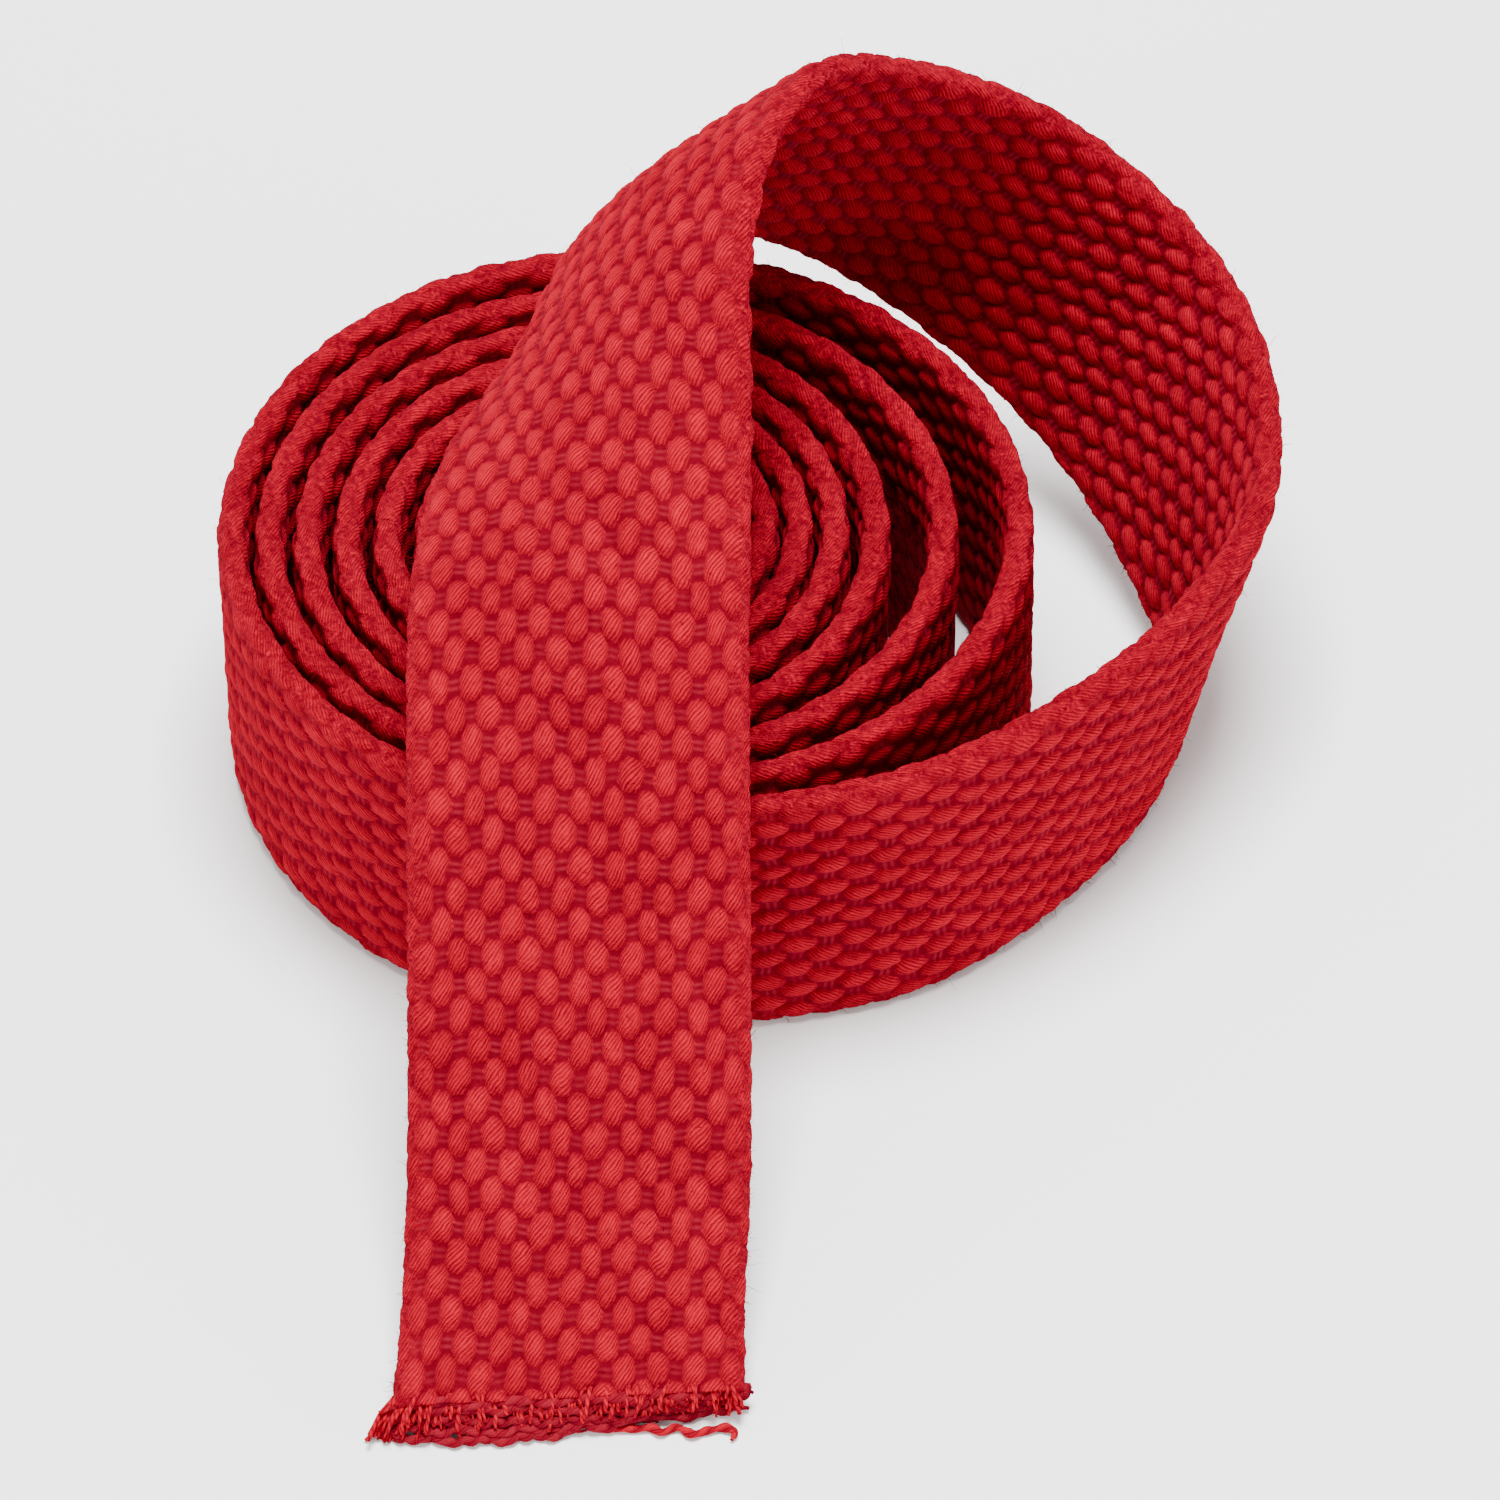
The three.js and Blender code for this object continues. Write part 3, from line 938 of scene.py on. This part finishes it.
# The frayed ends, threads and hairs, in millimetres where they are lengths.
FRAY_SEED = 41
STRAND_POINTS = 7
ROOT_DEPTH = 0.9
SPLAYED_SHARE = 0.16
STRAND_DROOP = 0.0875
FLOOR_GAP = 0.02
CUT_THREAD_POINTS = 90
LOOSE_THREAD_POINTS = 130
THREAD_SIDES = 12
THREAD_PLIES = 2
THREAD_PLY_PITCH = 1.7
STRAND_PLY_PITCH = 0.8
HAIR_PLY_PITCH = 0.7
LINT_SEED = 7
LOOSE_END_LINT = 0.62
SELVEDGE_LINT = 0.6


def dressed(piece, material, nodes=()):
    """Gives a piece its material and says which part it belongs to."""
    piece.data.materials.append(material)
    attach(piece, "root")
    if nodes:
        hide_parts(*nodes)


class WEBBING_OT_wound_turns(Operator):
    """The wound turns: finest on the outermost turn and along the selvedges that show on top"""

    bl_idname = "webbing.wound_turns"
    bl_label = "Wound turns"

    def execute(self, context):
        scene = context.scene
        weave = scene.webbing_weave
        line = StrapLine()
        core_end = line.length_at_quarter(CORE_QUARTERS)
        middle_end = line.length_at_quarter(MIDDLE_QUARTERS)
        lengths = [
            ("roll_core", 0.0, core_end, INNER_SPANS, HIDDEN_FACES),
            ("roll_middle", core_end, middle_end, INNER_SPANS, HIDDEN_FACES),
            ("roll_outer", middle_end, line.parting, OUTER_SPANS, ()),
        ]
        for name, start, stop, spans, plain in lengths:
            piece = strap_piece(name, line, start, stop, spans, weave, WOUND_CUTS_A_ROW, plain)
            dressed(piece, woven_cotton(scene.webbing_colours), ["wound_roll"])
        return {"FINISHED"}


class WEBBING_OT_loose_end(Operator):
    """The loose end: the loop round the side and over the back, and the strip in front"""

    bl_idname = "webbing.loose_end"
    bl_label = "Loose end"

    def execute(self, context):
        scene = context.scene
        weave = scene.webbing_weave
        line = StrapLine()
        middle = line.length_at_knot(len(line.rows) - STRIP_SECTIONS)
        for name, start, stop in (("loop", line.parting, middle), ("strip", middle, line.end)):
            piece = strap_piece(name, line, start, stop, LOOSE_SPANS, weave, weave.cuts_a_row)
            dressed(piece, woven_cotton(scene.webbing_colours), ["loose_end"])
        return {"FINISHED"}


class WEBBING_OT_cut_end(Operator):
    """The cut end: frayed warp ends, longer at the left, and weft threads that lie across them"""

    bl_idname = "webbing.cut_end"
    bl_label = "Cut end"

    def execute(self, context):
        scene = context.scene
        fray = scene.webbing_fray
        colours = scene.webbing_colours
        weave = scene.webbing_weave
        line = StrapLine()
        chance = np.random.default_rng(FRAY_SEED)

        ends = np.repeat(np.arange(RING_COLUMNS, dtype=float), fray.strands)
        places = ends + chance.uniform(-0.45, 0.45, len(ends))
        lengths = np.full(len(ends), line.end - ROOT_DEPTH)
        roots, facing, along, *_ = cloth_points(line, lengths, places, weave)
        middle, _, across, *_ = line.sections(lengths)
        w = np.sum((roots - middle) * across, axis=1)
        roots = roots - facing * chance.uniform(0.0, 1.2, len(ends))[:, None]
        left = np.clip(0.5 - w / WEBBING_WIDTH, 0, 1)
        reach = (fray.right_length + (fray.left_length - fray.right_length) * left ** 1.3) / MM + ROOT_DEPTH
        reach = reach * chance.uniform(0.6, 1.12, len(ends))
        splay = np.clip(left - (1 - SPLAYED_SHARE), 0, 1)
        sideways = -0.7 * splay / SPLAYED_SHARE + chance.normal(0, 0.16, len(ends))
        share = np.linspace(0, 1, STRAND_POINTS)
        t = share[None, :, None]
        aim = along + sideways[:, None] * across + chance.normal(0, 0.10, (len(ends), 3))
        paths = roots[:, None] + t * reach[:, None, None] * aim[:, None]
        swirl = chance.normal(0, 0.14, (len(ends), 3))
        paths = paths + np.sin(t * 4.5) * t * swirl[:, None]
        paths[..., 2] -= STRAND_DROOP * (t[..., 0] * reach[:, None]) ** 2
        floor = fray.strand_radius / MM + FLOOR_GAP
        paths[..., 2] = np.maximum(paths[..., 2], floor + 0.25 * np.abs(swirl[:, :1]))
        taper = np.interp(share, [0, 0.5, 1], [1.0, 1.0, 0.8])
        radii = fray.strand_radius / MM * chance.uniform(0.7, 1.3, len(ends))[:, None] * taper[None]
        tufts = tubes_piece("frayed_ends", paths, radii, sides=5)
        dressed(tufts, cotton_yarn(colours, "Cut cotton", colours.cut, STRAND_PLY_PITCH), ["loose_end"])

        steps = np.linspace(0, 4, CUT_THREAD_POINTS)
        threads = np.array([smooth_rows(np.arange(5.0), np.array(points), steps) for points in CUT_THREADS])
        run = np.linspace(0, 1, CUT_THREAD_POINTS)
        for axis, size in ((1, 0.16), (2, 0.09)):
            for waves in (5, 9, 17):
                phase = chance.uniform(0, 2 * math.pi, (len(threads), 1))
                threads[..., axis] += size / math.sqrt(waves / 5) * np.sin(2 * math.pi * waves * run + phase)
        radius = fray.thread_radius / MM
        ends_in = np.clip(np.minimum(run, 1 - run) * 14, 0.35, 1)
        radii = radius * chance.uniform(0.85, 1.15, (len(threads), 1)) * ends_in[None]
        threads[..., 2] = np.maximum(threads[..., 2], radii * 1.1)
        laid = tubes_piece("cut_threads", threads, radii, THREAD_SIDES, THREAD_PLIES, THREAD_PLY_PITCH)
        dressed(laid, cotton_yarn(colours, "Weft cotton", colours.weft, THREAD_PLY_PITCH), ["loose_end"])
        return {"FINISHED"}


class WEBBING_OT_loose_thread(Operator):
    """The loose weft thread that waves away to the right of the cut end"""

    bl_idname = "webbing.loose_thread"
    bl_label = "Loose thread"

    def execute(self, context):
        scene = context.scene
        colours = scene.webbing_colours
        radius = scene.webbing_fray.thread_radius / MM * 0.85
        points = np.array(LOOSE_THREAD)
        steps = np.linspace(0, len(points) - 1, LOOSE_THREAD_POINTS)
        path = smooth_rows(np.arange(float(len(points))), points, steps)
        run = np.linspace(0, 1, LOOSE_THREAD_POINTS)
        radii = radius * (1 + 0.10 * np.sin(31 * run) + 0.06 * np.sin(77 * run + 1))
        radii = radii * np.clip((1 - run) * 25, 0.45, 1)
        path[:, 2] = np.maximum(path[:, 2], radii * 1.1)
        shape = (path[None], radii[None], THREAD_SIDES, THREAD_PLIES, THREAD_PLY_PITCH)
        thread = tubes_piece("loose_thread", *shape)
        dressed(thread, cotton_yarn(colours, "Loose cotton", colours.crest, THREAD_PLY_PITCH))
        return {"FINISHED"}


class WEBBING_OT_lint(Operator):
    """Fine hairs that stand out of the cloth wherever it shows"""

    bl_idname = "webbing.lint"
    bl_label = "Lint"

    def execute(self, context):
        scene = context.scene
        fray = scene.webbing_fray
        colours = scene.webbing_colours
        line = StrapLine()
        chance = np.random.default_rng(LINT_SEED)
        loose = int(fray.lint * LOOSE_END_LINT)
        wound = fray.lint - loose
        lengths = np.concatenate(
            [chance.uniform(line.parting + 4, line.end, loose), chance.uniform(30.0, line.parting, wound)]
        )
        free = np.where(
            chance.random(loose) < SELVEDGE_LINT,
            np.where(chance.random(loose) < 0.5, RING_START, TOP_SELVEDGE) + chance.normal(0, 0.9, loose),
            chance.uniform(RING_START, RING_END, loose),
        )
        places = np.concatenate([free, chance.normal(TOP_SELVEDGE, 1.3, wound)])
        roots, facing, along, *_ = cloth_points(line, lengths, places, scene.webbing_weave)
        side = np.cross(facing, along)
        count = len(roots)
        heading = chance.uniform(0, 2 * math.pi, count)[:, None]
        lying = np.cos(heading) * along + np.sin(heading) * side
        size = chance.gamma(1.6, 0.24, count)[:, None, None] + 0.22
        t = np.linspace(0, 1, 4)[None, :, None]
        rise = chance.uniform(0.25, 1.0, count)[:, None, None]
        curl = chance.normal(0, 0.35, (count, 1, 3))
        paths = roots[:, None] + size * (
            t * rise * facing[:, None] + t * (1.15 - rise) * lying[:, None] + curl * np.sin(2.6 * t) * t
        )
        paths[..., 2] = np.maximum(paths[..., 2], 0.05)
        taper = np.array([1.0, 0.9, 0.7, 0.35])
        radii = fray.lint_radius / MM * chance.uniform(0.7, 1.3, count)[:, None] * taper[None]
        hairs = tubes_piece("lint", paths, radii, sides=3)
        dressed(hairs, cotton_yarn(colours, "Lint cotton", colours.crest, HAIR_PLY_PITCH))
        return {"FINISHED"}


# Stage


CAMERA_ELEVATION = math.radians(49)
CAMERA_DISTANCE = 1.4
CAMERA_TARGET = (0.0111, -0.014, 0.015)
FRAME_PIXELS = 1500
PIXELS_A_MM = 11.3
FRAME_WIDTH = FRAME_PIXELS / PIXELS_A_MM * MM
SENSOR_WIDTH = 36.0
FLOOR_REACH = 2.5
FLOOR_LEVEL = -0.00005
WORLD_LIGHT = 0.62
LAMPS = (
    # name, place, size, power
    ("overhead", (0.02, 0.08, 1.2), 0.5, 46.0),
    ("left_fill", (-0.95, -0.8, 0.35), 0.6, 15.0),
    ("right_fill", (1.1, -0.6, 0.2), 0.5, 16.0),
)


class WEBBING_OT_stage(Operator):
    """The pale floor, the soft light and the camera at the photograph's angle"""

    bl_idname = "webbing.stage"
    bl_label = "Stage"

    def execute(self, context):
        scene = context.scene
        colours = scene.webbing_colours
        signs = ((-1, -1), (1, -1), (1, 1), (-1, 1))
        corners = [(x * FLOOR_REACH, y * FLOOR_REACH, FLOOR_LEVEL) for x, y in signs]
        floor_mesh = bpy.data.meshes.new("floor")
        floor_mesh.from_pydata(corners, [], [(0, 1, 2, 3)])
        floor = bpy.data.objects.new("floor", floor_mesh)
        scene.collection.objects.link(floor)
        paint = bpy.data.materials.new("Pale floor")
        paint.use_nodes = True
        shader = paint.node_tree.nodes.get("Principled BSDF")
        shader.inputs["Base Color"].default_value = opaque(colours.floor)
        shader.inputs["Roughness"].default_value = 0.9
        floor_mesh.materials.append(paint)

        world = bpy.data.worlds.new("Soft room")
        world.use_nodes = True
        background = world.node_tree.nodes["Background"]
        background.inputs["Color"].default_value = (1.0, 1.0, 1.0, 1.0)
        background.inputs["Strength"].default_value = WORLD_LIGHT
        scene.world = world
        for name, place, size, power in LAMPS:
            light = bpy.data.lights.new(name, "AREA")
            light.shape = "SQUARE"
            light.size = size
            light.energy = power
            lamp = bpy.data.objects.new(name, light)
            lamp.location = place
            aim = Vector(CAMERA_TARGET) - Vector(place)
            lamp.rotation_euler = aim.to_track_quat("-Z", "Y").to_euler()
            scene.collection.objects.link(lamp)

        back = Vector((0.0, -math.cos(CAMERA_ELEVATION), math.sin(CAMERA_ELEVATION)))
        camera_data = bpy.data.cameras.new("camera")
        camera_data.sensor_width = SENSOR_WIDTH
        camera_data.lens = SENSOR_WIDTH * CAMERA_DISTANCE / FRAME_WIDTH
        camera_data.clip_start = 0.05
        camera_data.clip_end = 20.0
        camera = bpy.data.objects.new("camera", camera_data)
        camera.location = Vector(CAMERA_TARGET) + CAMERA_DISTANCE * back
        camera.rotation_euler = (math.pi / 2 - CAMERA_ELEVATION, 0.0, 0.0)
        scene.collection.objects.link(camera)
        scene.camera = camera
        return {"FINISHED"}


class WEBBING_PT_panel(Panel):
    """Sizes, colours and pieces of the roll of webbing"""

    bl_idname = "WEBBING_PT_panel"
    bl_label = "Webbing"
    bl_space_type = "VIEW_3D"
    bl_region_type = "UI"
    bl_category = "Webbing"

    def draw(self, context):
        layout = self.layout
        scene = context.scene
        for settings in (scene.webbing_weave, scene.webbing_fray, scene.webbing_colours):
            box = layout.box()
            for name in settings.__annotations__:
                box.prop(settings, name)
        for operator in PIECES:
            layout.operator(operator.bl_idname)


PIECES = (
    WEBBING_OT_stage,
    WEBBING_OT_wound_turns,
    WEBBING_OT_loose_end,
    WEBBING_OT_cut_end,
    WEBBING_OT_loose_thread,
    WEBBING_OT_lint,
)
CLASSES = (WebbingWeave, WebbingFray, WebbingColours, *PIECES, WEBBING_PT_panel)


def register():
    """Registers the classes and gives the scene its settings."""
    for entry in CLASSES:
        bpy.utils.register_class(entry)
    bpy.types.Scene.webbing_weave = PointerProperty(type=WebbingWeave)
    bpy.types.Scene.webbing_fray = PointerProperty(type=WebbingFray)
    bpy.types.Scene.webbing_colours = PointerProperty(type=WebbingColours)


def unregister():
    """Takes away what register gave."""
    del bpy.types.Scene.webbing_colours
    del bpy.types.Scene.webbing_fray
    del bpy.types.Scene.webbing_weave
    for entry in reversed(CLASSES):
        bpy.utils.unregister_class(entry)


def main():
    """Makes the stage and every piece."""
    register()
    bpy.ops.webbing.stage()
    bpy.ops.webbing.wound_turns()
    bpy.ops.webbing.loose_end()
    bpy.ops.webbing.cut_end()
    bpy.ops.webbing.loose_thread()
    bpy.ops.webbing.lint()


if __name__ == "__main__":
    main()
